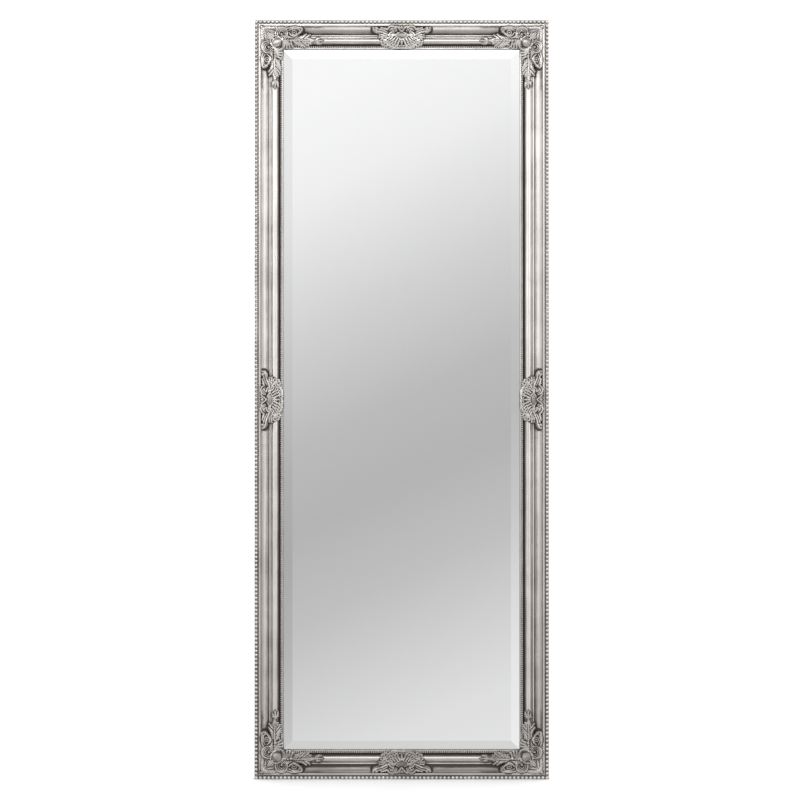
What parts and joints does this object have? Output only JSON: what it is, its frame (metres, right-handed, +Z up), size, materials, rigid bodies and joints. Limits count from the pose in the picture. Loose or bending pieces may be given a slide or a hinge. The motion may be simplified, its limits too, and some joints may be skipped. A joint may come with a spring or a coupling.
{
  "type": "full length mirror",
  "caption": "Tall rectangular mirror with a bevelled glass in a wide silver-leafed moulding, pearl borders, carved acanthus corners and side ornaments, and hanging rings on the back.",
  "frame": {"origin": "middle of the flat bottom edge of the frame, on which the mirror stands", "axes": "+X across the mirror to the viewer's right, +Z up its height, -Y out of its front towards the viewer, +Y into the wall"},
  "size_m": [0.64, 0.0415, 1.65],
  "materials": {
    "leafed_moulding": "antique silver leaf on gesso over wood, satin",
    "leafed_pearls": "antique silver leaf on pressed composition",
    "leafed_ornament": "antique silver leaf on pressed composition, dark in the recesses",
    "mirror": "silvered float glass, polished bevel",
    "interleaf": "thin foam sheet",
    "hardboard": "plain hardboard",
    "nail_steel": "plain",
    "zinc_steel": "zinc plated",
    "rubber": "matt"
  },
  "bodies": {
    "framed_mirror": {"bottom_rail": "leafed_moulding", "top_rail": "leafed_moulding", "left_stile": "leafed_moulding", "right_stile": "leafed_moulding", "outer_pearls_bottom": "leafed_pearls", "outer_pearls_top": "leafed_pearls", "outer_pearls_left": "leafed_pearls", "outer_pearls_right": "leafed_pearls", "inner_pearls_bottom": "leafed_pearls", "inner_pearls_top": "leafed_pearls", "inner_pearls_left": "leafed_pearls", "inner_pearls_right": "leafed_pearls", "corner_ornament_bottom_left": "leafed_ornament", "corner_ornament_bottom_right": "leafed_ornament", "corner_ornament_top_right": "leafed_ornament", "corner_ornament_top_left": "leafed_ornament", "centre_ornament_bottom": "leafed_ornament", "centre_ornament_top": "leafed_ornament", "centre_ornament_left": "leafed_ornament", "centre_ornament_right": "leafed_ornament", "mirror_glass": "mirror", "interleaf_sheet": "interleaf", "backing_board": "hardboard", "corner_nails": "nail_steel", "hanger_strap_left": "zinc_steel", "hanger_strap_right": "zinc_steel", "hanger_screws": "zinc_steel", "turn_button_screws": "zinc_steel", "wall_bumpers": "rubber"},
    "hanger_ring_left": {"hanger_ring_left": "zinc_steel"},
    "hanger_ring_right": {"hanger_ring_right": "zinc_steel"},
    "turn_button_left_low": {"turn_button_left_low": "zinc_steel"},
    "turn_button_left_mid": {"turn_button_left_mid": "zinc_steel"},
    "turn_button_left_high": {"turn_button_left_high": "zinc_steel"},
    "turn_button_right_low": {"turn_button_right_low": "zinc_steel"},
    "turn_button_right_mid": {"turn_button_right_mid": "zinc_steel"},
    "turn_button_right_high": {"turn_button_right_high": "zinc_steel"},
    "turn_button_bottom": {"turn_button_bottom": "zinc_steel"},
    "turn_button_top": {"turn_button_top": "zinc_steel"}
  },
  "joints": [
    {"name": "hanger_ring_left_swing", "type": "hinge", "parent": "framed_mirror", "child": "hanger_ring_left", "pos_m": [-0.292, 0.01673, 1.31], "axis": [1, 0, 0], "range_deg": [0, 180]},
    {"name": "hanger_ring_right_swing", "type": "hinge", "parent": "framed_mirror", "child": "hanger_ring_right", "pos_m": [0.292, 0.01673, 1.31], "axis": [1, 0, 0], "range_deg": [0, 180]},
    {"name": "turn_button_left_low_turn", "type": "hinge", "parent": "framed_mirror", "child": "turn_button_left_low", "pos_m": [-0.275, 0.01463, 0.265], "axis": [0, 1, 0], "continuous": true},
    {"name": "turn_button_left_mid_turn", "type": "hinge", "parent": "framed_mirror", "child": "turn_button_left_mid", "pos_m": [-0.275, 0.01463, 0.825], "axis": [0, 1, 0], "continuous": true},
    {"name": "turn_button_left_high_turn", "type": "hinge", "parent": "framed_mirror", "child": "turn_button_left_high", "pos_m": [-0.275, 0.01463, 1.385], "axis": [0, 1, 0], "continuous": true},
    {"name": "turn_button_right_low_turn", "type": "hinge", "parent": "framed_mirror", "child": "turn_button_right_low", "pos_m": [0.275, 0.01463, 0.265], "axis": [0, 1, 0], "continuous": true},
    {"name": "turn_button_right_mid_turn", "type": "hinge", "parent": "framed_mirror", "child": "turn_button_right_mid", "pos_m": [0.275, 0.01463, 0.825], "axis": [0, 1, 0], "continuous": true},
    {"name": "turn_button_right_high_turn", "type": "hinge", "parent": "framed_mirror", "child": "turn_button_right_high", "pos_m": [0.275, 0.01463, 1.385], "axis": [0, 1, 0], "continuous": true},
    {"name": "turn_button_bottom_turn", "type": "hinge", "parent": "framed_mirror", "child": "turn_button_bottom", "pos_m": [0, 0.01463, 0.045], "axis": [0, 1, 0], "continuous": true},
    {"name": "turn_button_top_turn", "type": "hinge", "parent": "framed_mirror", "child": "turn_button_top", "pos_m": [0, 0.01463, 1.605], "axis": [0, 1, 0], "continuous": true}
  ]
}
